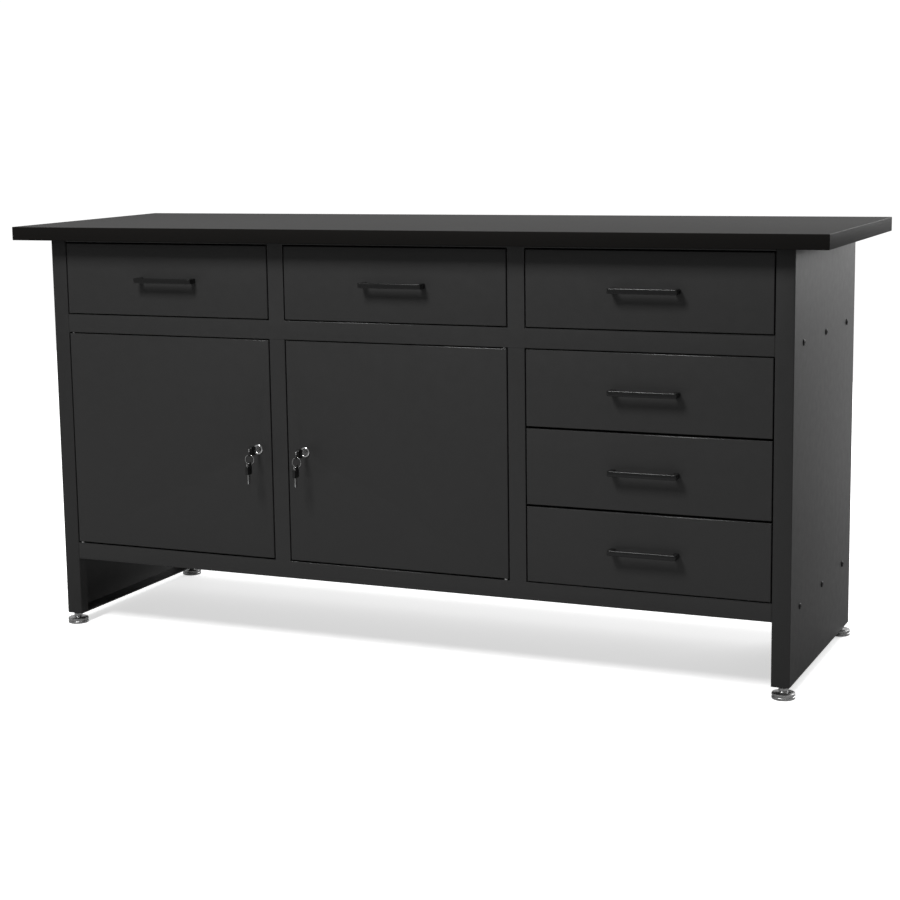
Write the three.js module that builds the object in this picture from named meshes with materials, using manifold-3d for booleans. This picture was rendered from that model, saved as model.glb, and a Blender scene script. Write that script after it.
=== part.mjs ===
// Steel workbench with a board top, six drawers and two locked doors, standing on four levelling feet.
// Millimetres. X runs along the bench, the front faces -Y, Z is up. The origin is on the floor below the
// middle of the worktop.
//
// The carcass is folded sheet steel: two side panels, a face frame welded from rails and posts, a floor,
// a drawer deck, dividers and a back. The drawers run on channel runners. Each door turns on two pivot
// pins and closes with a cam lock, whose key carries a ring with a spare key.
import * as THREE from "three";
import { mergeVertices } from "three/addons/utils/BufferGeometryUtils.js";
import Module from "manifold-3d";

const wasm = await Module();
wasm.setup();

// ---- driving dimensions ----
const benchLength = 1700;
const benchDepth = 560;
const benchHeight = 850;
const topThickness = 28;
const overhangFront = 40.5;
const overhangRear = 12.5;
const legClearance = 23; // floor to the underside of the side panels
const sheet = 1.2; // side panels, face frame, doors
const thinSheet = 1.0; // drawers, shelves, dividers, back
const fit = 0.3; // gap between pieces that touch
const sliver = 0.01; // edges shorter than this are merged
const flange = 35; // folded front and rear faces of a side panel
const lip = 25; // depth of the folds behind the front faces
const bayWidth = 475;
const postWidth = 34.5;
const bottomRailHeight = 35;
const midRailHeight = 38;
const bottomRailZ = 144;
const lowerOpening = 450;
const upperOpening = 150;
const frontGapSide = 2;
const doorGapBelow = 3;
const doorGapAbove = 2;
const doorDepth = 18;
const drawerPitch = 150;
const drawerFrontHeight = 146;
const drawerFrontDepth = 16;
const drawerBoxHeight = 100;
const drawerBoxDepth = 444;
const drawerBoxLift = 14; // box bottom above the front's lower edge
const slideWidth = 13; // room for a runner each side of a drawer box
const runnerHeight = 20;
const runnerLength = 450;
const runnerWall = 1.4;
const runnerLift = 42; // runner's lower edge above the box bottom
const pivotFromEdge = 6.5;
const pivotFromFace = 5;
const pivotRadius = 2.25;
const pivotHoleRadius = 2.6;
const lockHeight = 405;
const lockX = { left: -304, centre: -198 };
const camReach = { left: 42, centre: 51 };
const footInsetX = 15;
const footInsetY = 16;
const footPlate = 3;
const studRadius = 4;

// ---- levels and planes worked out from them ----
const bodyTop = benchHeight - topThickness;
const frontY = -benchDepth / 2 + overhangFront;
const rearY = benchDepth / 2 - overhangRear;
const bodyHalf = flange + 1.5 * bayWidth + postWidth;
const innerHalf = bodyHalf - flange;
const floorZ = bottomRailZ + bottomRailHeight;
const railLowZ = floorZ + lowerOpening;
const deckZ = railLowZ + midRailHeight;
const upperTopZ = deckZ + upperOpening;
const lipY = frontY + lip;
const rearLipY = rearY - lip;
const backY = rearY - fit - thinSheet; // inner face of the back sheet
const postCentre = (bayWidth + postWidth) / 2;
const bays = {
  left: [-innerHalf, -postCentre - postWidth / 2],
  centre: [-bayWidth / 2, bayWidth / 2],
  right: [postCentre + postWidth / 2, innerHalf],
};
const rowDirections = { left: -1, right: 1 };

// ---- finishes ----
const powderCoat = new THREE.MeshStandardMaterial({ color: 0x343434, roughness: 0.55, metalness: 0.1 });
const frontCoat = new THREE.MeshStandardMaterial({ color: 0x363535, roughness: 0.55, metalness: 0.1 });
const board = new THREE.MeshStandardMaterial({ color: 0x232321, roughness: 0.5, metalness: 0 });
const zinc = new THREE.MeshStandardMaterial({ color: 0xb9b9b6, roughness: 0.3, metalness: 1 });
const chrome = new THREE.MeshStandardMaterial({ color: 0xd0d0ce, roughness: 0.15, metalness: 1 });
const blackMetal = new THREE.MeshStandardMaterial({ color: 0x161616, roughness: 0.35, metalness: 0.3 });
const blackPlastic = new THREE.MeshStandardMaterial({ color: 0x101010, roughness: 0.45, metalness: 0 });

// ---- solids: held in whole steps of a fine grid, so faces that should meet do so exactly ----
const gridSteps = 64; // in a millimetre

function solid(geometry) {
  const bare = geometry.clone();
  bare.deleteAttribute("normal");
  bare.deleteAttribute("uv");
  const merged = mergeVertices(bare, 1e-4);
  return new wasm.Manifold(
    new wasm.Mesh({
      numProp: 3,
      vertProperties: merged.attributes.position.array.map((value) => Math.round(value * gridSteps)),
      triVerts: new Uint32Array(merged.index.array),
    }),
  );
}

// Slivers that a boolean leaves along shared faces are merged away before the mesh is taken.
function geometryOf(body) {
  const made = body.asOriginal().simplify(sliver * gridSteps).getMesh();
  const places = made.vertProperties.map((value) => value / gridSteps);
  return new THREE.BufferGeometry()
    .setAttribute("position", new THREE.BufferAttribute(places, 3))
    .setIndex(new THREE.BufferAttribute(made.triVerts, 1));
}

// A block between two corners, whichever way round they are given. Its corners are set rather than
// moved there, so blocks that share a coordinate share it exactly.
function block(x0, x1, y0, y1, z0, z1) {
  const geometry = new THREE.BoxGeometry(1, 1, 1);
  const corners = geometry.attributes.position;
  const low = [Math.min(x0, x1), Math.min(y0, y1), Math.min(z0, z1)];
  const high = [Math.max(x0, x1), Math.max(y0, y1), Math.max(z0, z1)];
  for (let corner = 0; corner < corners.count; corner++) {
    const place = [corners.getX(corner), corners.getY(corner), corners.getZ(corner)];
    corners.setXYZ(corner, ...place.map((value, axis) => (value < 0 ? low[axis] : high[axis])));
  }
  return solid(geometry);
}

// A round bar along Z between two heights.
function bar(radius, x, y, z0, z1, sides = 20) {
  const round = new THREE.CylinderGeometry(radius, radius, z1 - z0, sides);
  return solid(round.rotateX(Math.PI / 2).translate(x, y, (z0 + z1) / 2));
}

// A round bar along Y between two depths.
function barY(radius, x, z, y0, y1, sides = 24) {
  const round = new THREE.CylinderGeometry(radius, radius, y1 - y0, sides);
  return solid(round.translate(x, (y0 + y1) / 2, z));
}

// A round bar along X, centred on X = 0.
function barX(radius, y, z, half, sides = 20) {
  const round = new THREE.CylinderGeometry(radius, radius, 2 * half, sides);
  return solid(round.rotateZ(Math.PI / 2).translate(0, y, z));
}

function join(bodies) {
  return bodies.reduce((whole, body) => whole.add(body));
}

function cut(body, tools) {
  return tools.reduce((left, tool) => left.subtract(tool), body);
}

function named(name, body, material, place = [0, 0, 0]) {
  const mesh = new THREE.Mesh(geometryOf(body), material);
  mesh.name = name;
  mesh.position.set(...place);
  return mesh;
}

// ---- worktop ----
function worktop() {
  const halfX = benchLength / 2;
  const halfY = benchDepth / 2;
  return block(-halfX, halfX, -halfY, halfY, bodyTop + fit, benchHeight);
}

// ---- side panel: a tray open to the inside, with a folded lip behind its front and rear faces ----
function footPlaces(side) {
  const x = side * (bodyHalf - footInsetX);
  return [
    [x, frontY + footInsetY],
    [x, rearY - footInsetY],
  ];
}

function sidePanel(side) {
  const outer = side * bodyHalf;
  const inner = side * innerHalf;
  const from = legClearance;
  const weldNut = 8;
  const studHole = studRadius + 0.5;
  const plates = [
    block(outer - side * sheet, outer, frontY, rearY, from, bodyTop),
    block(inner, outer, frontY, frontY + sheet, from, bodyTop),
    block(inner, inner + side * sheet, frontY, lipY, from, bodyTop),
    block(inner, outer, rearY - sheet, rearY, from, bodyTop),
    block(inner, inner + side * sheet, rearLipY, rearY, from, bodyTop),
    block(inner, outer, frontY, rearY, from, from + footPlate),
    block(inner, outer, frontY, rearY, bodyTop - sheet, bodyTop),
  ];
  const nuts = footPlaces(side).map(([x, y]) =>
    block(x - weldNut, x + weldNut, y - weldNut, y + weldNut, from, from + footPlate + weldNut),
  );
  const holes = footPlaces(side).map(([x, y]) => bar(studHole, x, y, from - 1, from + footPlate + weldNut + 1));
  return cut(join([...plates, ...nuts]), holes);
}

// ---- face frame: bottom rail, mid rail, top lip and two posts, welded and folded back ----
function rail(z0, z1) {
  const end = innerHalf - fit;
  return [
    block(-end, end, frontY, frontY + sheet, z0, z1),
    block(-end, end, frontY, lipY, z0, z0 + sheet),
    block(-end, end, frontY, lipY, z1 - sheet, z1),
  ];
}

function post(centre, z0, z1) {
  const low = centre - postWidth / 2;
  const high = centre + postWidth / 2;
  return [
    block(low, high, frontY, frontY + sheet, z0, z1),
    block(low, low + sheet, frontY, lipY, z0, z1),
    block(high - sheet, high, frontY, lipY, z0, z1),
  ];
}

function pivotPlaces() {
  const inset = frontGapSide + pivotFromEdge;
  return { left: bays.left[0] + inset, centre: bays.centre[1] - inset };
}

function faceFrame() {
  const posts = [-postCentre, postCentre].flatMap((x) => [
    ...post(x, floorZ - sheet, railLowZ + sheet),
    ...post(x, deckZ - sheet, bodyTop),
  ]);
  const whole = join([
    ...rail(bottomRailZ, floorZ),
    ...rail(railLowZ, deckZ),
    ...rail(upperTopZ, bodyTop),
    ...posts,
  ]);
  const y = frontY + pivotFromFace;
  const holes = Object.values(pivotPlaces()).flatMap((x) => [
    bar(pivotHoleRadius, x, y, floorZ - sheet - 1, floorZ + 1),
    bar(pivotHoleRadius, x, y, railLowZ - 1, railLowZ + sheet + 1),
  ]);
  return cut(whole, holes);
}

// ---- floor and drawer deck: sheets whose folded ends reach into the side panels ----
function horizontalPan(topZ) {
  const drop = 30;
  const end = bodyHalf - sheet - fit;
  const front = lipY + fit;
  const between = [front, rearLipY - fit];
  const body = innerHalf - fit;
  const pieces = [block(-body, body, front, backY - fit, topZ - sheet, topZ)];
  for (const side of Object.values(rowDirections)) {
    pieces.push(block(side * (body - 1), side * end, ...between, topZ - sheet, topZ));
    pieces.push(block(side * (end - sheet), side * end, ...between, topZ - drop, topZ));
  }
  pieces.push(block(-body, body, backY - fit - sheet, backY - fit, topZ - drop, topZ));
  return join(pieces);
}

// ---- back: a sheet between the side panels, with its top and bottom folded in ----
function backPanel() {
  const end = innerHalf - fit;
  const top = bodyTop - fit;
  const front = backY - 14;
  const sheetBlock = block(-end, end, front, backY + thinSheet, bottomRailZ, top);
  return sheetBlock.subtract(
    block(-end - 1, end + 1, front - 1, backY, bottomRailZ + thinSheet, top - thinSheet),
  );
}

// ---- dividers: upright sheets behind the posts, folded along their top and bottom ----
const dividerFront = lipY + fit;
const dividerRear = backY - 16;

function divider(x, z0, z1) {
  const fold = 12;
  return [
    block(x - thinSheet / 2, x + thinSheet / 2, dividerFront, dividerRear, z0, z1),
    block(x - thinSheet / 2, x + fold, dividerFront, dividerRear, z0, z0 + thinSheet),
    block(x - thinSheet / 2, x + fold, dividerFront, dividerRear, z1 - thinSheet, z1),
  ];
}

// ---- runners: channels open towards the drawer ----
const runnerFront = lipY + 2;

// side is the way from the drawer out to the channel's web, wall the plane the web stands on.
function runnerChannel(wall, side, z) {
  const reach = wall - side * (slideWidth - 0.5);
  const rear = runnerFront + runnerLength;
  const top = z + runnerHeight;
  return [
    block(wall, wall - side * runnerWall, runnerFront, rear, z, top),
    block(wall, reach, runnerFront, rear, z, z + runnerWall),
    block(wall, reach, runnerFront, rear, top - runnerWall, top),
  ];
}

function runnerZ(frontBottom) {
  return frontBottom + drawerBoxLift + runnerLift;
}

const drawerGap = (drawerPitch - drawerFrontHeight) / 2;
const upperFrontZ = deckZ + drawerGap;
const lowerFrontZ = [0, 1, 2].map((row) => floorZ + drawerGap + row * drawerPitch);
const standoffLength = 24;

// Two short blocks that hold a channel off a divider.
function standoffs(from, to, z) {
  return [runnerFront + 20, runnerFront + runnerLength - 60].map((y) =>
    block(from, to, y, y + standoffLength, z + 3, z + runnerHeight - 3),
  );
}

function upperDivider(x) {
  const z = runnerZ(upperFrontZ);
  const half = postWidth / 2;
  const pieces = divider(x, deckZ + fit, bodyTop - fit);
  for (const side of [-1, 1]) {
    const wall = x + side * half;
    pieces.push(...runnerChannel(wall, -side, z));
    pieces.push(...standoffs(x, wall, z));
  }
  return join(pieces);
}

// An upright strip with three channels, fixed to a divider or to a side panel's lips.
function runnerLadder(wall, side, depth) {
  const backing = wall + side * depth;
  const z0 = floorZ + 25;
  const z1 = railLowZ - 25;
  const pieces = [];
  for (const z of lowerFrontZ.map(runnerZ)) {
    pieces.push(...runnerChannel(wall, side, z));
  }
  for (const y of [runnerFront + 30, runnerFront + runnerLength - 80]) {
    pieces.push(block(wall - (side * runnerWall) / 2, backing, y, y + standoffLength, z0, z1));
  }
  return join(pieces);
}

// ---- shelf: a tray turned down on all sides ----
function shelf(x0, x1) {
  const y0 = lipY + 28;
  const y1 = backY - 6;
  const z = floorZ + 0.5 * lowerOpening;
  const drop = 22;
  return join([
    block(x0, x1, y0, y1, z - thinSheet, z),
    block(x0, x1, y0, y0 + thinSheet, z - drop, z),
    block(x0, x1, y1 - thinSheet, y1, z - drop, z),
    block(x0, x0 + thinSheet, y0, y1, z - drop, z),
    block(x1 - thinSheet, x1, y0, y1, z - drop, z),
  ]);
}

// ---- pivot pin: a headed pin through a rail's fold and a door's fold, with a washer in the gap below ----
function pivotPin(hasWasher) {
  const headRadius = 3.4;
  const headHeight = 3.2;
  const washerRadius = 4;
  const shank = 16;
  const pieces = [bar(headRadius, 0, 0, -headHeight, 0), bar(pivotRadius, 0, 0, -1, shank)];
  if (hasWasher) {
    pieces.push(bar(washerRadius, 0, 0, sheet + 2 * fit, sheet + doorGapBelow));
  }
  return join(pieces);
}

function addPivots(group) {
  const y = frontY + pivotFromFace;
  for (const [bay, x] of Object.entries(pivotPlaces())) {
    const door = bay === "left" ? "left" : "right";
    const low = floorZ - sheet - fit;
    const high = railLowZ + sheet + fit;
    group.add(named(`pivot_pin_${door}_bottom`, pivotPin(true), zinc, [x, y, low]));
    const top = named(`pivot_pin_${door}_top`, pivotPin(false), zinc, [x, y, high]);
    top.rotation.x = Math.PI;
    group.add(top);
  }
}

// ---- levelling foot: a round pad that swivels on a stud with a hexagon ----
const padRadius = 21.5;
const padHeight = 11.5;
const collarTop = 14;

function footPad() {
  const groove = 1.2;
  const socket = 5.2;
  const points = [
    [0, 0],
    [padRadius - 1.5, 0],
    [padRadius, 1.5],
    [padRadius, 4.8],
    [padRadius - groove, 5.4],
    [padRadius - groove, 6.2],
    [padRadius, 6.8],
    [padRadius, padHeight - 1.5],
    [padRadius - 1.5, padHeight],
    [9, padHeight],
    [8, collarTop],
    [socket, collarTop],
    [socket, 7],
    [0, 7],
  ];
  const profile = points.map(([r, z]) => new THREE.Vector2(r, z));
  return solid(new THREE.LatheGeometry(profile, 24).rotateX(Math.PI / 2));
}

function footStud() {
  const hexagon = { radius: 9.5, from: collarTop + fit, height: 6.2 };
  const hexTop = hexagon.from + hexagon.height;
  const studTop = 62;
  return join([
    bar(4.8, 0, 0, 7 + fit, hexagon.from + 1),
    bar(hexagon.radius, 0, 0, hexagon.from, hexTop, 6),
    bar(studRadius, 0, 0, hexTop - 1, studTop),
  ]);
}

// ---- drawer, placed by the bottom middle of its front ----
const frontWidth = bayWidth - 2 * frontGapSide;
const boxHalf = bayWidth / 2 - slideWidth;

function drawerFront() {
  const half = frontWidth / 2;
  const depth = drawerFrontDepth;
  const height = drawerFrontHeight;
  return join([
    block(-half, half, 0, sheet, 0, height),
    block(-half, half, 0, depth, 0, sheet),
    block(-half, half, 0, depth, height - sheet, height),
    block(-half, -half + sheet, 0, depth, 0, height),
    block(half - sheet, half, 0, depth, 0, height),
  ]);
}

// The slide member that rides in a runner: a channel open towards the runner's web.
function slideMember(side) {
  const z0 = drawerBoxLift + runnerLift + runnerWall + 0.8;
  const z1 = drawerBoxLift + runnerLift + runnerHeight - runnerWall - 0.8;
  const wall = side * boxHalf;
  const reach = side * (bayWidth / 2 - runnerWall - 1);
  const y0 = drawerFrontDepth + fit;
  const y1 = y0 + drawerBoxDepth - 6;
  return [
    block(wall, wall + side * runnerWall, y0, y1, z0, z1),
    block(wall, reach, lip + 4, y1, z0, z0 + runnerWall),
    block(wall, reach, lip + 4, y1, z1 - runnerWall, z1),
  ];
}

function drawerBox() {
  const y0 = drawerFrontDepth + fit;
  const y1 = y0 + drawerBoxDepth;
  const z0 = drawerBoxLift;
  const z1 = z0 + drawerBoxHeight;
  const wall = thinSheet;
  return join([
    block(-boxHalf, boxHalf, y0, y1, z0, z0 + wall),
    block(-boxHalf, boxHalf, y0, y0 + wall, z0, z1),
    block(-boxHalf, boxHalf, y1 - wall, y1, z0, z1),
    block(-boxHalf, -boxHalf + wall, y0, y1, z0, z1),
    block(boxHalf - wall, boxHalf, y0, y1, z0, z1),
    ...slideMember(-1),
    ...slideMember(1),
  ]);
}

// ---- handle: a bow with two legs square to the drawer front ----
const handleLength = 134;
const handleReach = 24;
const handleHeight = 10;
const handleShift = { left: 6, centre: 3, right: -2 }; // from the middle of the front

function handle() {
  const half = handleLength / 2;
  const lean = 1;
  const legWidth = 10;
  const gap = 17;
  const outer = 5;
  const inner = 4;
  const base = half - lean;
  const legInside = half - legWidth;
  const outline = new THREE.Shape();
  outline.moveTo(-base, 0);
  outline.lineTo(-base + legWidth, 0);
  outline.lineTo(-legInside, -gap + inner);
  outline.quadraticCurveTo(-legInside, -gap, -legInside + inner, -gap);
  outline.lineTo(legInside - inner, -gap);
  outline.quadraticCurveTo(legInside, -gap, legInside, -gap + inner);
  outline.lineTo(base - legWidth, 0);
  outline.lineTo(base, 0);
  outline.lineTo(half, -handleReach + outer);
  outline.quadraticCurveTo(half, -handleReach, half - outer, -handleReach);
  outline.lineTo(-half + outer, -handleReach);
  outline.quadraticCurveTo(-half, -handleReach, -half, -handleReach + outer);
  const settings = { depth: handleHeight, bevelEnabled: false, curveSegments: 4 };
  return solid(new THREE.ExtrudeGeometry(outline, settings).translate(0, 0, -handleHeight / 2));
}

function addDrawer(group, name, bay, z) {
  const drawer = new THREE.Group();
  const x = (bays[bay][0] + bays[bay][1]) / 2;
  drawer.position.set(x, frontY, z);
  drawer.add(named(`drawer_front_${name}`, drawerFront(), frontCoat));
  drawer.add(named(`drawer_box_${name}`, drawerBox(), powderCoat));
  drawer.add(named(`drawer_handle_${name}`, handle(), blackPlastic, [handleShift[bay], -fit, drawerFrontHeight / 2]));
  group.add(drawer);
}

// ---- door, placed by its pivot axis at the height of its lower edge ----
const doorHeight = lowerOpening - doorGapBelow - doorGapAbove;

// hand is 1 for a door that reaches towards +X from its pivot, -1 for one that reaches towards -X.
function door(hand, lockAt) {
  const near = -hand * pivotFromEdge;
  const far = hand * (frontWidth - pivotFromEdge);
  const face = -pivotFromFace;
  const back = face + doorDepth;
  const lockHole = 8.2;
  const tray = join([
    block(near, far, face, face + sheet, 0, doorHeight),
    block(near, far, face, back, 0, sheet),
    block(near, far, face, back, doorHeight - sheet, doorHeight),
    block(near, near + hand * sheet, face, back, 0, doorHeight),
    block(far - hand * sheet, far, face, back, 0, doorHeight),
  ]);
  return cut(tray, [
    bar(pivotHoleRadius, 0, 0, -1, sheet + 1),
    bar(pivotHoleRadius, 0, 0, doorHeight - sheet - 1, doorHeight + 1),
    barY(lockHole, ...lockAt, face - 1, face + sheet + 1),
  ]);
}

// ---- cam lock, placed where its axis meets the door's face ----
const bezelRadius = 10.5;
const plugRadius = 5.5;
const plugBore = 5.8;
const camPlane = lip + 1;

function lockBody() {
  const barrelRadius = 7.8;
  const whole = join([
    barY(bezelRadius, 0, 0, -2.8, -fit),
    barY(barrelRadius, 0, 0, -1, 23),
    barY(11, 0, 0, sheet + fit, 6, 6),
  ]);
  return whole.subtract(barY(plugBore, 0, 0, -4, 24));
}

function lockPlug(reach) {
  const slot = block(-1.3, 1.3, -5, 18, -4.2, 4.2);
  const camWidth = 14;
  const camThickness = 2;
  return join([
    barY(plugRadius, 0, 0, -3.2, camPlane + 3).subtract(slot),
    block(-camWidth / 2, camWidth / 2, camPlane, camPlane + camThickness, -reach, camWidth / 2),
  ]);
}

// ---- key: a plastic bow with an eyelet, round a steel blade along +Y whose far end shows past the bow ----
const bow = { front: -34, back: -16, bottom: -8, top: 9, radius: 3.5, half: 3 };
const eyelet = { radius: 3.7, half: 1.5 };
const ringHole = { y: -37, z: -4.5, radius: 2 };
const wire = 0.8;

// A plate in the YZ plane with rounded corners, centred on X.
function roundedPlate(shape, half) {
  const plate = new THREE.ExtrudeGeometry(shape, { depth: 2 * half, bevelEnabled: false, curveSegments: 5 });
  const upright = new THREE.Matrix4().makeBasis(
    new THREE.Vector3(0, 1, 0),
    new THREE.Vector3(0, 0, 1),
    new THREE.Vector3(1, 0, 0),
  );
  return solid(plate.translate(0, 0, -half).applyMatrix4(upright));
}

function key() {
  const outline = new THREE.Shape();
  outline.moveTo(bow.front + bow.radius, bow.bottom);
  outline.lineTo(bow.back - bow.radius, bow.bottom);
  outline.quadraticCurveTo(bow.back, bow.bottom, bow.back, bow.bottom + bow.radius);
  outline.lineTo(bow.back, bow.top - bow.radius);
  outline.quadraticCurveTo(bow.back, bow.top, bow.back - bow.radius, bow.top);
  outline.lineTo(bow.front + bow.radius, bow.top);
  outline.quadraticCurveTo(bow.front, bow.top, bow.front, bow.top - bow.radius);
  outline.lineTo(bow.front, bow.bottom + bow.radius);
  outline.quadraticCurveTo(bow.front, bow.bottom, bow.front + bow.radius, bow.bottom);
  const blade = { half: 1, height: 3.7, tip: 4 };
  const tab = { length: 5, bottom: 0.5, top: 7 };
  const low = ringHole.z - eyelet.radius;
  const high = ringHole.z + eyelet.radius;
  const whole = join([
    barX(eyelet.radius, ringHole.y, ringHole.z, eyelet.half),
    block(-eyelet.half, eyelet.half, ringHole.y, bow.front + 1, low, high),
    roundedPlate(outline, bow.half),
    block(-blade.half, blade.half, bow.back - 2, blade.tip, -blade.height, blade.height),
    block(-blade.half, blade.half, bow.front - tab.length, bow.front + 2, tab.bottom, tab.top),
  ]);
  return whole.subtract(barX(ringHole.radius, ringHole.y, ringHole.z, eyelet.half + 1));
}

// ---- ring, in the XZ plane, placed by its centre ----
const ringRadius = 9.6;

function keyRing() {
  return solid(new THREE.TorusGeometry(ringRadius, wire, 8, 28).rotateX(Math.PI / 2));
}

// The wire curves away within an eyelet, so it rests on the hole's rim at the eyelet's two faces.
const wireSag = ringRadius - Math.sqrt(ringRadius ** 2 - eyelet.half ** 2);
const wireOffset = ringHole.radius - wire - fit - wireSag;
const ringZ = ringHole.z - wireOffset - ringRadius;
const spareZ = ringZ - ringRadius - wireOffset;

function addDoor(group, name, bay, hand) {
  const hinge = new THREE.Group();
  const pivotX = pivotPlaces()[bay];
  hinge.position.set(pivotX, frontY + pivotFromFace, floorZ + doorGapBelow);
  const lockAt = [lockX[bay] - pivotX, lockHeight - floorZ - doorGapBelow];
  hinge.add(named(`door_${name}`, door(hand, lockAt), frontCoat));
  const lock = new THREE.Group();
  lock.position.set(lockAt[0], -pivotFromFace, lockAt[1]);
  lock.add(named(`lock_body_${name}`, lockBody(), chrome));
  lock.add(named(`lock_plug_${name}`, lockPlug(camReach[bay]), zinc));
  lock.add(named(`key_${name}`, key(), blackPlastic));
  lock.add(named(`key_ring_${name}`, keyRing(), chrome, [0, ringHole.y, ringZ]));
  const spare = named(`spare_key_${name}`, key(), blackPlastic, [0, ringHole.y + ringHole.z, spareZ + ringHole.y]);
  spare.rotation.set(-Math.PI / 2, Math.PI, 0);
  lock.add(spare);
  hinge.add(lock);
  group.add(hinge);
}

// ---- assembly ----
const bench = new THREE.Group();
bench.add(named("worktop", worktop(), board));
for (const [name, side] of Object.entries(rowDirections)) {
  bench.add(named(`side_panel_${name}`, sidePanel(side), powderCoat));
  footPlaces(side).forEach(([x, y], index) => {
    const place = `${index ? "rear" : "front"}_${name}`;
    bench.add(named(`foot_pad_${place}`, footPad(), zinc, [x, y, 0]));
    bench.add(named(`foot_stud_${place}`, footStud(), zinc, [x, y, 0]));
  });
}
bench.add(named("face_frame", faceFrame(), powderCoat));
bench.add(named("cabinet_floor", horizontalPan(floorZ), powderCoat));
bench.add(named("drawer_deck", horizontalPan(deckZ), powderCoat));
bench.add(named("back_panel", backPanel(), powderCoat));
bench.add(named("divider_upper_left", upperDivider(-postCentre), powderCoat));
bench.add(named("divider_upper_right", upperDivider(postCentre), powderCoat));
const lowerSpan = [floorZ + fit, deckZ - sheet - fit];
bench.add(named("divider_lower_left", join(divider(-postCentre, ...lowerSpan)), powderCoat));
bench.add(named("divider_lower_right", join(divider(postCentre, ...lowerSpan)), powderCoat));
const shelfGap = 2;
bench.add(named("shelf_left", shelf(-innerHalf + shelfGap, -postCentre - shelfGap), powderCoat));
bench.add(named("shelf_right", shelf(-postCentre + shelfGap, postCentre - shelfGap), powderCoat));
addPivots(bench);

const runnerBacking = innerHalf - fit;
const upperRunnerZ = runnerZ(upperFrontZ);
for (const [name, side] of Object.entries(rowDirections)) {
  const channel = runnerChannel(side * runnerBacking, side, upperRunnerZ);
  bench.add(named(`runner_upper_${name}`, join(channel), zinc));
}
const standoffDepth = postWidth / 2 - thinSheet / 2 - fit;
bench.add(named("runner_ladder_left", runnerLadder(bays.right[0], -1, standoffDepth), zinc));
bench.add(named("runner_ladder_right", runnerLadder(runnerBacking, 1, 0), zinc));

["left", "centre", "right"].forEach((bay) => addDrawer(bench, `upper_${bay}`, bay, upperFrontZ));
["bottom", "middle", "top"].forEach((row, index) => addDrawer(bench, `lower_${row}`, "right", lowerFrontZ[index]));
addDoor(bench, "left", "left", 1);
addDoor(bench, "right", "centre", -1);

export default bench;
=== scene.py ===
# A steel workbench with a board top, six drawers and two locked doors, dressed for a studio picture.
# Metres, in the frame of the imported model: +X along the bench, the front faces -Y, +Z is up.
import math

import bmesh
import bpy
from mathutils import Matrix, Vector


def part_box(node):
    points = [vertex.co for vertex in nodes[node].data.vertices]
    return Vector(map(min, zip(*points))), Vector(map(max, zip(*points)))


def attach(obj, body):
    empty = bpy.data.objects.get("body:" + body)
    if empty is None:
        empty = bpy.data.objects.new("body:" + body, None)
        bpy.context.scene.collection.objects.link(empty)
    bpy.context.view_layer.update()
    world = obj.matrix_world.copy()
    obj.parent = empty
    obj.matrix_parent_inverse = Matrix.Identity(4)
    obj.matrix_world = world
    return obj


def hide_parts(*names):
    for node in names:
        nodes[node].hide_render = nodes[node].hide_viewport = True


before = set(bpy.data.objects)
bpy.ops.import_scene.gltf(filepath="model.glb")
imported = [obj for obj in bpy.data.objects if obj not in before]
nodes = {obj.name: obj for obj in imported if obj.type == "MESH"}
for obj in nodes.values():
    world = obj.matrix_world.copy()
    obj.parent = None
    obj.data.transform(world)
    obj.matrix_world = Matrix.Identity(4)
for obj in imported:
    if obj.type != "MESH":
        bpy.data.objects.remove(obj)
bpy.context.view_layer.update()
MM = 0.001

# ---- camera ----
# A long lens to the right of the bench's middle and a little above its top.
camera_azimuth = math.radians(24.72)
camera_elevation = math.radians(9.15)
camera_roll = math.radians(-1.01)
camera_distance = 4.0377
camera_target = Vector((-0.08796, 0, 0.41851))
toward_camera = Vector(
    (
        math.sin(camera_azimuth) * math.cos(camera_elevation),
        -math.cos(camera_azimuth) * math.cos(camera_elevation),
        math.sin(camera_elevation),
    )
)
camera = bpy.data.objects.new("camera", bpy.data.cameras.new("camera"))
camera.data.lens = 77.66
camera.data.shift_x = 0.05
camera.data.shift_y = -0.0222
camera.data.clip_end = 200
level_right = Vector((0, 0, 1)).cross(toward_camera).normalized()
level_up = toward_camera.cross(level_right)
level = Matrix((level_right, level_up, toward_camera)).transposed()
rolled = (level @ Matrix.Rotation(camera_roll, 3, "Z")).to_4x4()
camera.matrix_world = Matrix.Translation(camera_target + toward_camera * camera_distance) @ rolled
bpy.context.scene.collection.objects.link(camera)
bpy.context.scene.camera = camera


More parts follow.
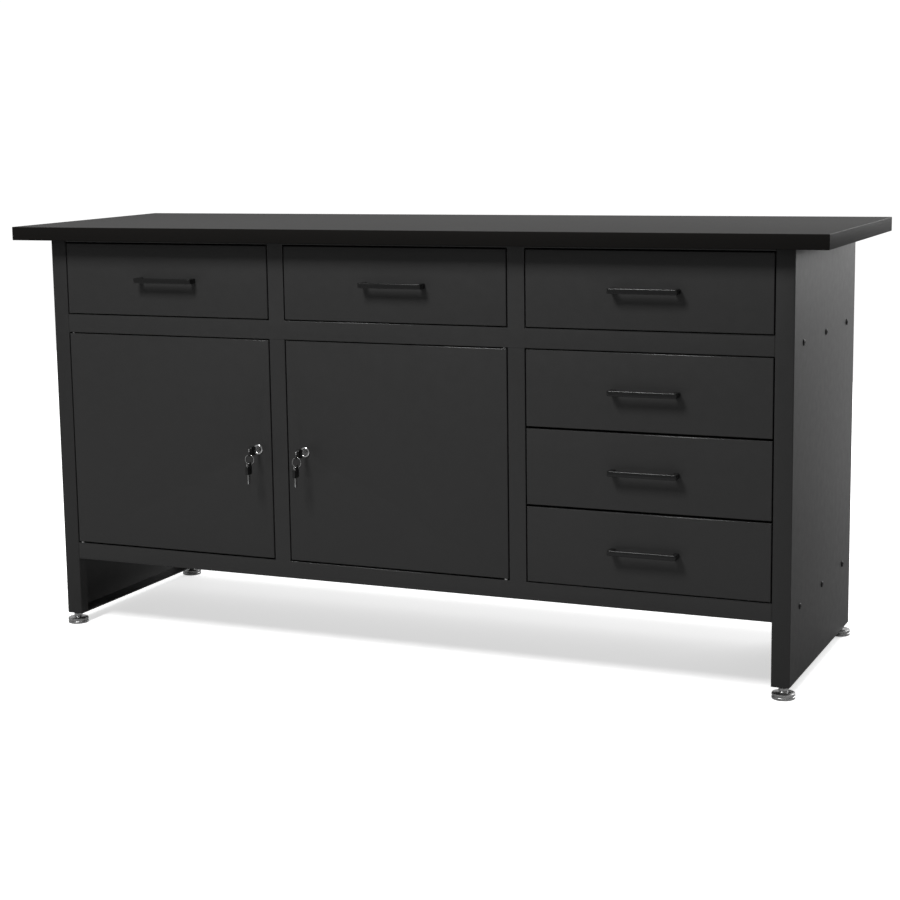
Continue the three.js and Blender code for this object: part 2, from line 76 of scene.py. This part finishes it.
# ---- carcass ----
# Folded sheet steel in a fine-textured dark grey powder coat: side panels, face frame, floor, deck,
# back, dividers and shelves. The folds have a tight radius that catches the light, and a fine joint
# shows where the lower posts of the face frame are welded under its middle rail.
class Wire:
    """A shader socket that can be used in expressions: each operator adds a Math node.

    node() adds any other node. Its settings are set first, then the values or links of its sockets.
    """

    def __init__(self, tree, socket=None):
        self.tree = tree
        self.socket = socket

    def node(self, kind, settings=None, inputs=None, output=0):
        made = self.tree.nodes.new("ShaderNode" + kind)
        for name, value in (settings or {}).items():
            setattr(made, name, value)
        for name, value in (inputs or {}).items():
            if isinstance(value, Wire):
                self.tree.links.new(value.socket, made.inputs[name])
            else:
                made.inputs[name].default_value = value
        return Wire(self.tree, made.outputs[output] if made.outputs else None)

    def math(self, operation, *values, clamp=False):
        return self.node("Math", {"operation": operation, "use_clamp": clamp}, dict(enumerate(values)))

    def __add__(self, other):
        return self.math("ADD", self, other)

    def __sub__(self, other):
        return self.math("SUBTRACT", self, other)

    def __rsub__(self, other):
        return self.math("SUBTRACT", other, self)

    def __mul__(self, other):
        return self.math("MULTIPLY", self, other)

    def __truediv__(self, other):
        return self.math("DIVIDE", self, other)

    __radd__ = __add__
    __rmul__ = __mul__


def grey(value, warmth=0.0):
    return (value * (1 + warmth), value, value * (1 - warmth), 1)


def new_material(name):
    """A material with an empty tree, ready for nodes."""
    material = bpy.data.materials.new(name)
    material.use_nodes = True
    material.node_tree.nodes.clear()
    return material, Wire(material.node_tree)


def close_material(tree, **sockets):
    """Joins a Principled shader with these sockets to the material's output."""
    names = {name.replace("_", " "): value for name, value in sockets.items()}
    shader = tree.node("BsdfPrincipled", {}, names)
    tree.node("OutputMaterial", {}, {"Surface": shader})


def noise(tree, scale, detail=2.0, stretch=(1, 1, 1)):
    """Noise in the piece's own metres, about 1 / scale across, from 0 to 1."""
    place = tree.node("TexCoord", output="Object")
    stretched = tree.node("VectorMath", {"operation": "MULTIPLY"}, {0: place, 1: stretch})
    return tree.node("TexNoise", {}, {"Vector": stretched, "Scale": scale, "Detail": detail})


def along(tree, axis):
    """The place along one axis, in metres: 0, 1 or 2 for X, Y or Z."""
    place = tree.node("TexCoord", output="Object")
    return tree.node("SeparateXYZ", {}, {"Vector": place}, output=axis)


def near(tree, value, centre, half, soft):
    """1 where a value is within half of a centre, falling to 0 over a soft distance."""
    away = tree.math("ABSOLUTE", value - centre)
    return tree.math("MULTIPLY", (half + soft - away) / soft, 1.0, clamp=True)


def bump(tree, height, depth, strength=1.0):
    return tree.node("Bump", {}, {"Height": height, "Distance": depth, "Strength": strength})


def blend(tree, mask, first, second):
    """first where mask is 0 and second where it is 1."""
    return tree.node("Mix", {"data_type": "RGBA"}, {0: mask, 6: first, 7: second}, output=2)


def finished(piece, material):
    piece.data.materials.clear()
    piece.data.materials.append(material)


def dress(node, material):
    """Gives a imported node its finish."""
    finished(nodes[node], material)


def folded(node, material, body, radius, on_fold):
    """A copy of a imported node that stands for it, with a round fold along the edges that on_fold picks.

    on_fold takes the two ends of an edge in metres, and the node's lowest and highest corners.
    """
    low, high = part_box(node)
    work = bmesh.new()
    work.from_mesh(nodes[node].data)
    bmesh.ops.remove_doubles(work, verts=work.verts, dist=0.00002)
    bmesh.ops.dissolve_limit(work, angle_limit=math.radians(0.5), verts=work.verts, edges=work.edges)
    folds = []
    for edge in work.edges:
        start, end = (vertex.co for vertex in edge.verts)
        if edge.calc_face_angle_signed(0) > 0.5 and on_fold(start, end, low, high):
            folds.append(edge)
    bmesh.ops.bevel(
        work,
        geom=folds,
        offset=radius,
        segments=4,
        profile=0.5,
        affect="EDGES",
        clamp_overlap=False,
    )
    mesh = bpy.data.meshes.new(f"folded_{node}")
    work.to_mesh(mesh)
    work.free()
    mesh.shade_smooth()
    mesh.set_sharp_from_angle(angle=math.radians(30))
    piece = bpy.data.objects.new(f"folded_{node}", mesh)
    bpy.context.scene.collection.objects.link(piece)
    finished(piece, material)
    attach(piece, body)
    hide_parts(node)


def on_front(start, end, low, high):
    """True for an edge that lies in the node's foremost plane."""
    return max(start.y, end.y) < low.y + 0.0001


def on_outside(start, end, low, high):
    """True for an edge in the front plane, or in the plane furthest from the bench's middle."""
    outer = high.x if high.x > 0 else low.x
    return on_front(start, end, low, high) or max(abs(start.x - outer), abs(end.x - outer)) < 0.0001


def powder_coat(name, shade, roughness, pebble, joint=None):
    """Textured powder coat. joint is the height of a fine dark weld joint, and the span it crosses.

    The coat flows out smoother over a fold that faces upward.
    """
    material, tree = new_material(name)
    pebbles = noise(tree, 620, 2)
    cloud = noise(tree, 2.2, 3)
    dust = noise(tree, 60, 4)
    tone = cloud * 0.5 + dust * 0.3 + pebbles * 0.2
    facing = tree.node("NewGeometry", output="Normal")
    upward = tree.node("SeparateXYZ", {}, {"Vector": facing}, output=2)
    top_fold = near(tree, upward, 0.45, 0.25, 0.1)
    colour = blend(tree, tone, grey(shade * 0.84, 0.005), grey(shade * 1.16, 0.005))
    height = pebbles
    if joint:
        level, half_span = joint
        line = near(tree, along(tree, 2), level, 0.00025, 0.0004)
        span = near(tree, tree.math("ABSOLUTE", along(tree, 0)), post_middle, half_span, 0.0002)
        seam = line * span
        colour = blend(tree, seam, colour, grey(shade * 0.35))
        height = pebbles - seam * 3.0
    close_material(
        tree,
        Base_Color=colour,
        Roughness=roughness - 0.06 + 0.12 * dust - 0.24 * top_fold,
        Normal=bump(tree, height, 0.00012, pebble),
        IOR=powder_ior,
    )
    return material


powder_ior = 1.42
post_middle = 0.25475
# The side panels take a copy of the carcass coat with a darker colour, a painted shade for the light
# falling off along their front edges; the inner sheets and drawer boxes share this darkened copy.
shade_darkened_side_coat = powder_coat("side_powder_coat", 0.021, 0.46, 0.25)
frame_coat = powder_coat("frame_powder_coat", 0.026, 0.46, 0.35, joint=(0.629, 0.0172))
fold_radius = 2.0 * MM
for name in ("side_panel_left", "side_panel_right"):
    folded(name, shade_darkened_side_coat, "carcass", fold_radius, on_outside)
folded("face_frame", frame_coat, "carcass", fold_radius, on_front)
inner_sheets = (
    "cabinet_floor",
    "drawer_deck",
    "back_panel",
    "divider_upper_left",
    "divider_upper_right",
    "divider_lower_left",
    "divider_lower_right",
    "shelf_left",
    "shelf_right",
)
for name in inner_sheets:
    dress(name, shade_darkened_side_coat)


# ---- joints between the face frame and the side panels ----
# A run of weld behind each rail's end joins it to the side panel and closes the fine gap to light. It
# is ground flat and coated with the rest.
frame_low, frame_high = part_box("face_frame")
front_plane = frame_low[1]
rail_spans = {"bottom": (144, 179), "middle": (629, 667), "top": (817, 821.7)}


def softened(corners, steps=7):
    """A closed outline whose corners, given as (x, y, setback), are turned into curves."""
    points = []
    for index, (x, y, setback) in enumerate(corners):
        here = Vector((x, y))
        if not setback:
            points.append(here)
            continue
        before = (Vector(corners[index - 1][:2]) - here).normalized()
        after = (Vector(corners[(index + 1) % len(corners)][:2]) - here).normalized()
        start = here + before * setback
        end = here + after * setback
        for step in range(steps + 1):
            share = step / steps
            points.append(start * (1 - share) ** 2 + here * (2 * share * (1 - share)) + end * share**2)
    return [tuple(point) for point in points]


def plate(outline, low, high):
    """Vertices and faces of an outline in X and Y between two heights."""
    count = len(outline)
    vertices = [(x, y, low) for x, y in outline] + [(x, y, high) for x, y in outline]
    faces = [tuple(range(count - 1, -1, -1)), tuple(range(count, 2 * count))]
    for step in range(count):
        following = (step + 1) % count
        faces.append((step, following, count + following, count + step))
    return vertices, faces


def make(name, shapes, material, body, place, turn=None, soften=0.0, instead_of=()):
    """A named piece from (vertices, faces) shapes in mm, turned and put at a place in metres."""
    work = bmesh.new()
    for vertices, faces in shapes:
        made = [work.verts.new(vertex) for vertex in vertices]
        for face in faces:
            work.faces.new([made[corner] for corner in face])
    placed = Matrix.Translation(place) @ (turn or Matrix.Identity(4)) @ Matrix.Scale(MM, 4)
    bmesh.ops.transform(work, matrix=placed, verts=work.verts)
    bmesh.ops.recalc_face_normals(work, faces=work.faces)
    if soften:
        sharp = [edge for edge in work.edges if edge.calc_face_angle(0) > math.radians(30)]
        bmesh.ops.bevel(
            work,
            geom=sharp,
            offset=soften * MM,
            segments=3,
            profile=0.5,
            affect="EDGES",
            clamp_overlap=True,
        )
    mesh = bpy.data.meshes.new(name)
    work.to_mesh(mesh)
    work.free()
    mesh.shade_smooth()
    mesh.set_sharp_from_angle(angle=math.radians(40))
    mesh.materials.append(material)
    piece = bpy.data.objects.new(name, mesh)
    bpy.context.scene.collection.objects.link(piece)
    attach(piece, body)
    if instead_of:
        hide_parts(*instead_of)


def rounded_strip(width, depth, low, high):
    """An upright strip with eased corners, on its own axis."""
    corners = [(-width, -depth), (width, -depth), (width, depth), (-width, depth)]
    return plate(softened([(x, y, 0.3) for x, y in corners], 2), low, high)


for side, x in (("left", frame_low[0]), ("right", frame_high[0])):
    strips = [rounded_strip(1.6, 0.5, low, high) for low, high in rail_spans.values()]
    place = (x, front_plane + 1.6 * MM, 0)
    make(f"frame_weld_{side}", strips, frame_coat, "carcass", place)

# ---- side panel screws ----
# Black button-head screws with a six-lobed recess, in two rows of three on each side panel. They hold
# the panel to the folded ends of the cabinet floor and the drawer deck.
def moulded(name, shade, roughness, ior=1.45):
    """Black plastic, or a black oxide that looks the same at this size."""
    material, tree = new_material(name)
    skin = noise(tree, 1400, 2)
    cloud = noise(tree, 30, 3)
    close_material(
        tree,
        Base_Color=blend(tree, cloud, grey(shade * 0.85), grey(shade * 1.15)),
        Roughness=roughness + 0.08 * cloud,
        Normal=bump(tree, skin, 0.00004, 0.4),
        IOR=ior,
    )
    return material


def turned(profile, sides=40):
    """Vertices and faces of a profile of (radius, height) turned about Z.

    A third number makes a ring six-lobed by that share of its radius.
    """
    vertices = []
    rings = []
    for radius, height, *lobes in profile:
        if radius == 0:
            rings.append([len(vertices)] * sides)
            vertices.append((0, 0, height))
            continue
        rings.append(range(len(vertices), len(vertices) + sides))
        for step in range(sides):
            angle = 2 * math.pi * step / sides
            reach = radius * (1 + (lobes[0] * math.cos(6 * angle) if lobes else 0))
            vertices.append((reach * math.cos(angle), reach * math.sin(angle), height))
    faces = []
    for lower, upper in zip(rings, rings[1:]):
        for step in range(sides):
            corners = (lower[step], lower[(step + 1) % sides], upper[(step + 1) % sides], upper[step])
            faces.append(tuple(dict.fromkeys(corners)))
    return vertices, faces


screw_black = moulded("screw_black", 0.005, 0.46, 1.35)
button_head = turned(
    [
        (0, 0.4),
        (1.7, 0.4, 0.14),
        (1.9, 1.9, 0.14),
        (2.3, 2.5, 0.1),
        (3.2, 2.55),
        (4.6, 2.2),
        (5.6, 1.4),
        (6.1, 0.4),
        (6.1, 0.02),
        (0, 0.02),
    ],
    48,
)
side_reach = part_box("side_panel_right")[1][0]
screw_middle = 12 * MM
screw_spread = 182 * MM
for side, outer in (("left", -side_reach), ("right", side_reach)):
    outward = Matrix.Rotation(math.copysign(math.pi / 2, outer), 4, "Y")
    for row, height in (("lower", 0.1613), ("upper", 0.6485)):
        for column, offset in (("front", -1), ("middle", 0), ("rear", 1)):
            place = (outer, screw_middle + offset * screw_spread, height)
            name = f"side_screw_{side}_{row}_{column}"
            make(name, [button_head], screw_black, "carcass", place, outward)


# ---- levelling feet ----
# A turned steel pad with a groove round its rim, and a threaded stud with a hexagon that is turned
# with a spanner. Both are bright zinc plated.
def plated(name, shade, roughness):
    """Metal with a thin plating, or bare steel."""
    material, tree = new_material(name)
    mottle = noise(tree, 260, 3)
    turning = noise(tree, 900, 1, (1, 1, 4))
    close_material(
        tree,
        Base_Color=blend(tree, mottle, grey(shade * 0.86), grey(shade)),
        Metallic=1.0,
        Roughness=roughness + 0.1 * mottle,
        Normal=bump(tree, turning, 0.00002, 0.4),
    )
    return material


def hexagon(radius, low, high, chamfer):
    """A nut's hexagon with chamfered corners at its two ends."""
    angles = [step * math.pi / 3 for step in range(6)]
    outline = [(radius * math.cos(angle), radius * math.sin(angle)) for angle in angles]
    small = (radius - chamfer) / radius
    vertices = [(x * small, y * small, low) for x, y in outline]
    vertices += [(x, y, low + chamfer * 0.5) for x, y in outline]
    vertices += [(x, y, high - chamfer * 0.5) for x, y in outline]
    vertices += [(x * small, y * small, high) for x, y in outline]
    faces = [tuple(range(5, -1, -1)), tuple(range(18, 24))]
    for level in range(3):
        for step in range(6):
            following = (step + 1) % 6
            base = level * 6
            faces.append((base + step, base + following, base + 6 + following, base + 6 + step))
    return vertices, faces


def thread(core, crest, pitch, low, high, sides=20, steps=5):
    """A screw thread along Z: rings of vertices whose crest climbs one pitch a turn."""
    rows = int((high - low) / pitch * steps)
    vertices = []
    for row in range(rows + 1):
        height = low + (high - low) * row / rows
        for step in range(sides):
            phase = (height / pitch - step / sides) % 1
            radius = core + (crest - core) * (1 - abs(2 * phase - 1))
            angle = 2 * math.pi * step / sides
            vertices.append((radius * math.cos(angle), radius * math.sin(angle), height))
    faces = [tuple(range(sides - 1, -1, -1)), tuple(range(rows * sides, (rows + 1) * sides))]
    for row in range(rows):
        for step in range(sides):
            following = (step + 1) % sides
            base = row * sides
            faces.append((base + step, base + following, base + sides + following, base + sides + step))
    return vertices, faces


zinc = plated("bright_zinc", 0.56, 0.22)
pad_profile = [
    (0, 0),
    (20.2, 0),
    (21.2, 0.5),
    (21.5, 1.4),
    (21.5, 4.3),
    (21.2, 4.9),
    (20.3, 5.4),
    (20.3, 6.2),
    (21.2, 6.7),
    (21.5, 7.3),
    (21.5, 10.1),
    (21.2, 11.0),
    (20.2, 11.5),
    (9.4, 11.5),
    (8.9, 11.7),
    (8.2, 13.8),
    (7.9, 14),
    (5.2, 14),
    (5.2, 7),
    (0, 7),
]
for end in ("front", "rear"):
    for side in ("left", "right"):
        low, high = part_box(f"foot_pad_{end}_{side}")
        place = ((low[0] + high[0]) / 2, (low[1] + high[1]) / 2, 0)
        name = f"{end}_{side}"
        make(
            f"foot_disc_{name}",
            [turned(pad_profile, 72)],
            zinc,
            f"foot_{name}_pad",
            place,
            instead_of=[f"foot_pad_{name}"],
        )
        stud = [
            turned([(0, 7.3), (4.6, 7.3), (4.8, 7.6), (4.8, 14.6), (0, 14.6)]),
            hexagon(9.5, 14.3, 20.5, 0.9),
            thread(3.3, 4.0, 1.25, 20.4, 62),
        ]
        make(
            f"foot_screw_{name}",
            stud,
            zinc,
            f"foot_{name}_stud",
            place,
            instead_of=[f"foot_stud_{name}"],
        )

# ---- drawer runners ----
# Rolled zinc channels screwed to the side panels, the dividers and the drawers' own sides.
runner_zinc = plated("runner_zinc", 0.5, 0.32)
for name in nodes:
    if name.startswith("runner_"):
        dress(name, runner_zinc)

# ---- drawers ----
# Each front is a tray folded from one sheet, in a smoother charcoal coat than the carcass, with a
# spot-welded box behind it in the carcass's coat.
front_coat = powder_coat("front_powder_coat", 0.026, 0.44, 0.3)
front_nodes = [name for name in nodes if name.startswith("drawer_front_")]
drawer_names = [name.removeprefix("drawer_front_") for name in front_nodes]
for name in drawer_names:
    body = f"drawer_{name}"
    folded(f"drawer_front_{name}", front_coat, body, fold_radius, on_front)
    dress(f"drawer_box_{name}", shade_darkened_side_coat)


# ---- handles ----
# A satin black bow on each drawer front: a flat grip between two legs that lean in towards the front,
# with rounded corners and softened edges.
handle_black = moulded("handle_black", 0.008, 0.22)
grip = softened(
    [
        (-66, 0, 0),
        (-67, -24, 5),
        (67, -24, 5),
        (66, 0, 0),
        (56, 0, 0),
        (57, -17, 4),
        (-57, -17, 4),
        (-56, 0, 0),
    ]
)
for name in drawer_names:
    low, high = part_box(f"drawer_handle_{name}")
    place = ((low[0] + high[0]) / 2, high[1], (low[2] + high[2]) / 2)
    make(
        f"handle_bow_{name}",
        [plate(grip, -5, 5)],
        handle_black,
        f"drawer_{name}",
        place,
        soften=1.2,
        instead_of=[f"drawer_handle_{name}"],
    )

# ---- doors ----
# Trays like the drawer fronts, in the same coat, that turn on zinc pins through their folded edges.
# A bright washer fills the gap under each door.
for side in ("left", "right"):
    folded(f"door_{side}", front_coat, f"door_{side}", fold_radius, on_front)
    for end, direction in (("bottom", 1), ("top", -1)):
        node = f"pivot_pin_{side}_{end}"
        low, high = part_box(node)
        head = low[2] if direction > 0 else high[2]
        place = ((low[0] + high[0]) / 2, (low[1] + high[1]) / 2, head)
        pin = [turned([(0, 0), (2.6, 0), (3.2, 0.5), (3.4, 1.2), (3.4, 3.2), (0, 3.2)])]
        pin.append(turned([(0, 3.1), (2.25, 3.1), (2.25, 18.4), (1.7, 19.2), (0, 19.2)]))
        if direction > 0:
            pin.append(turned([(0, 5), (3.8, 5), (4, 5.2), (4, 7.2), (3.8, 7.4), (0, 7.4)]))
        turn = Matrix.Rotation(0 if direction > 0 else math.pi, 4, "X")
        make(f"pivot_{side}_{end}", pin, zinc, "carcass", place, turn, instead_of=[node])

# ---- cam locks ----
# A chrome barrel lock in each door: a domed bezel round a recessed plug that the key turns, a barrel
# held by a hexagon nut, and a flat cam that hooks behind the face frame.
chrome = plated("chrome", 0.78, 0.09)
plug_zinc = plated("plug_zinc", 0.34, 0.3)
toward_front = Matrix.Rotation(math.pi / 2, 4, "X")
bezel_profile = [
    (5.8, -23),
    (7.6, -23),
    (7.8, -22.6),
    (7.8, 0.3),
    (10.2, 0.3),
    (10.5, 0.7),
    (10.4, 1.3),
    (9.9, 2.0),
    (9.1, 2.5),
    (8.2, 2.8),
    (7.4, 2.6),
    (6.6, 2.0),
    (6.1, 1.2),
    (5.8, 0.4),
    (5.8, -23),
]
plug_profile = [(0, -22), (5.5, -22), (5.5, 1.6), (5.2, 2.0), (2.2, 2.1), (0, 2.1)]
for side in ("left", "right"):
    low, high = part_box(f"lock_body_{side}")
    lock_place = ((low[0] + high[0]) / 2, front_plane, (low[2] + high[2]) / 2)
    nut = hexagon(11, -6, -1.5, 0.8)
    make(
        f"lock_barrel_{side}",
        [turned(bezel_profile, 72), nut],
        chrome,
        f"door_{side}",
        lock_place,
        toward_front,
        instead_of=[f"lock_body_{side}"],
    )
    dress(f"lock_plug_{side}", plug_zinc)

# ---- keys and rings ----
# Each lock holds a key with a black plastic bow. Its steel blade shows again as a tab at the outer
# end, and a split ring through its eyelet carries the spare key.
key_black = moulded("key_plastic", 0.009, 0.3)
blade_steel = plated("blade_steel", 0.7, 0.16)
sideways = Matrix(((0, 0, 1, 0), (1, 0, 0, 0), (0, 1, 0, 0), (0, 0, 0, 1)))


def annulus(inner, outer, half, sides=32):
    """A flat ring about Z with slightly rounded rims."""
    ease = min(0.4, (outer - inner) / 4)
    profile = [
        (inner, -half + ease),
        (inner + ease, -half),
        (outer - ease, -half),
        (outer, -half + ease),
        (outer, half - ease),
        (outer - ease, half),
        (inner + ease, half),
        (inner, half - ease),
        (inner, -half + ease),
    ]
    return turned(profile, sides)


def moved(shape, x, y):
    vertices, faces = shape
    return [(a + x, b + y, c) for a, b, c in vertices], faces


def split_ring(radius, wire, turns, pitch, steps=48, sides=10):
    """A wire coiled about Y for a little under two turns."""
    vertices = []
    count = int(steps * turns)
    for step in range(count + 1):
        angle = 2 * math.pi * step / steps
        rise = pitch * (step / count - 0.5)
        for corner in range(sides):
            around = 2 * math.pi * corner / sides
            reach = radius + wire * math.cos(around)
            height = rise + wire * math.sin(around)
            vertices.append((reach * math.sin(angle), height, reach * math.cos(angle)))
    faces = [tuple(range(sides)), tuple(range(count * sides + sides - 1, count * sides - 1, -1))]
    for step in range(count):
        for corner in range(sides):
            following = (corner + 1) % sides
            base = step * sides
            ahead = base + sides
            faces.append((base + corner, ahead + corner, ahead + following, base + following))
    return vertices, faces


bow_outline = softened([(-34, -8, 3.5), (-16, -8, 3.5), (-16, 9, 3.5), (-34, 9, 3.5)])
eyelet_neck = softened([(-35.6, -8, 0), (-33, -8, 0), (-33, -1, 0), (-35.6, -1, 0)])
eyelet_half = 1.5
bow_shapes = [
    plate(bow_outline, -3, 3),
    moved(annulus(2, 3.7, eyelet_half), -37, -4.5),
    plate(eyelet_neck, -eyelet_half, eyelet_half),
]
blade_half = 0.98
spare_depth = 8.2 * MM
spare_drop = 39 * MM
blade_outline = [(-18, -3.7), (2.6, -3.7), (4, -2.2), (4, 2.2), (2.6, 3.7), (-18, 3.7)]
tab_outline = softened([(-39, 0.5, 1), (-32, 0.5, 0), (-32, 7, 0), (-39, 7, 1)])
blade_shapes = [plate(outline, -blade_half, blade_half) for outline in (blade_outline, tab_outline)]
for side in ("left", "right"):
    low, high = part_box(f"key_{side}")
    lock_low, lock_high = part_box(f"lock_body_{side}")
    axis = ((low[0] + high[0]) / 2, front_plane, (lock_low[2] + lock_high[2]) / 2)
    spare_low, spare_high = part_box(f"spare_key_{side}")
    spare_middle = (spare_low[0] + spare_high[0]) / 2
    spare_place = (spare_middle, spare_high[1] - spare_depth, spare_high[2] - spare_drop)
    hanging = Matrix.Rotation(-math.pi / 2, 4, "X") @ Matrix.Rotation(math.pi, 4, "Y")
    for node, body, place, turn in (
        (f"key_{side}", f"key_{side}", axis, sideways),
        (f"spare_key_{side}", f"spare_{side}", spare_place, hanging @ sideways),
    ):
        make(f"bow_{node}", bow_shapes, key_black, body, place, turn, 0.5, [node])
        make(f"blade_{node}", blade_shapes, blade_steel, body, place, turn, 0.15)
    ring_low, ring_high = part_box(f"key_ring_{side}")
    ring_place = tuple((a + b) / 2 for a, b in zip(ring_low, ring_high))
    ring = split_ring(9.6, 0.52, 1.9, 0.55)
    make(
        f"split_ring_{side}",
        [ring],
        chrome,
        f"ring_{side}",
        ring_place,
        instead_of=[f"key_ring_{side}"],
    )


# ---- worktop ----
# A wood board faced with dark grey laminate, with a near-black plastic band glued round its edges.
# The band stands a hair below the laminate, and both arrises are broken by hand.
def laminate():
    material, tree = new_material("grey_laminate")
    grain = noise(tree, 900, 3)
    cloud = noise(tree, 3, 4)
    up = tree.node("SeparateXYZ", {}, {"Vector": tree.node("NewGeometry", output="Normal")}, output=2)
    top = tree.math("GREATER_THAN", up, 0.7)
    face = blend(tree, cloud * 0.6 + grain * 0.4, grey(0.040, 0.01), grey(0.052, 0.01))
    band = blend(tree, grain, grey(0.0075, 0.06), grey(0.0105, 0.06))
    close_material(
        tree,
        Base_Color=blend(tree, top, band, face),
        Roughness=0.4 + 0.08 * cloud + 0.2 * top,
        Normal=bump(tree, grain, 0.00006),
        IOR=1.11,
    )
    return material


folded("worktop", laminate(), "carcass", 1.2 * MM, lambda start, end, low, high: True)

# ---- floor and light ----
# A pale studio floor under a high soft key from the front and a broad light overhead. A tall soft
# panel stands behind and to the right, so the side panel picks it up at a shallow angle.
floor_material, floor_tree = new_material("studio_floor")
floor_seen = floor_tree.node("LightPath", output="Is Camera Ray")
pale = blend(floor_tree, noise(floor_tree, 0.8), grey(0.88), grey(0.9))
lit = floor_tree.node("BsdfDiffuse", {}, {"Color": blend(floor_tree, floor_seen, grey(0.3), pale)})
lift = floor_tree.node("Emission", {}, {"Color": grey(1), "Strength": floor_seen * 0.6})
both = floor_tree.node("AddShader", {}, {0: lit, 1: lift})
floor_tree.node("OutputMaterial", {}, {"Surface": both})
floor_mesh = bpy.data.meshes.new("floor")
floor_mesh.from_pydata([(-4, -1.9, 0), (4, -1.9, 0), (4, 4, 0), (-4, 4, 0)], [], [(0, 1, 2, 3)])
floor_mesh.materials.append(floor_material)
floor = bpy.data.objects.new("floor", floor_mesh)
bpy.context.scene.collection.objects.link(floor)

world = bpy.data.worlds.new("studio")
world.use_nodes = True
world.node_tree.nodes.clear()
sky = Wire(world.node_tree)
seen = sky.node("LightPath", output="Is Camera Ray")
direction = sky.node("TexCoord", output="Generated")
behind = sky.node("SeparateXYZ", {}, {"Vector": direction}, output=1)
glow = 0.22 + 0.35 * sky.math("MULTIPLY", behind, 1.0, clamp=True)
strength = seen * 1.05 + (1 - seen) * glow
backdrop = sky.node("Background", {}, {"Color": (1, 1, 1, 1), "Strength": strength})
sky.node("OutputWorld", {}, {"Surface": backdrop})
bpy.context.scene.world = world
bpy.context.scene.view_settings.view_transform = "Standard"


def aim_lamp(name, light, place, aim):
    lamp = bpy.data.objects.new(name, light)
    lamp.location = place
    lamp.rotation_euler = (Vector(aim) - Vector(place)).to_track_quat("-Z", "Y").to_euler()
    lamp.visible_camera = False
    bpy.context.scene.collection.objects.link(lamp)


def softbox(name, place, aim, width, height, watts):
    light = bpy.data.lights.new(name, "AREA")
    light.shape = "RECTANGLE"
    light.size = width
    light.size_y = height
    light.energy = watts
    aim_lamp(name, light, place, aim)


softbox("key_light", (-0.50, -2.10, 2.82), (0, -0.24, 0.5), 0.85, 0.85, 77)
softbox("side_light", (2.3, 3.6, 2.1), (0.78, 0.1, 0.5), 2.4, 2.4, 100)
overhead = bpy.data.lights.new("overhead", "SUN")
overhead.energy = 1.65
overhead.angle = math.radians(40)
aim_lamp("overhead", overhead, (0.2, 0.4, 6), (0, 0, 0))
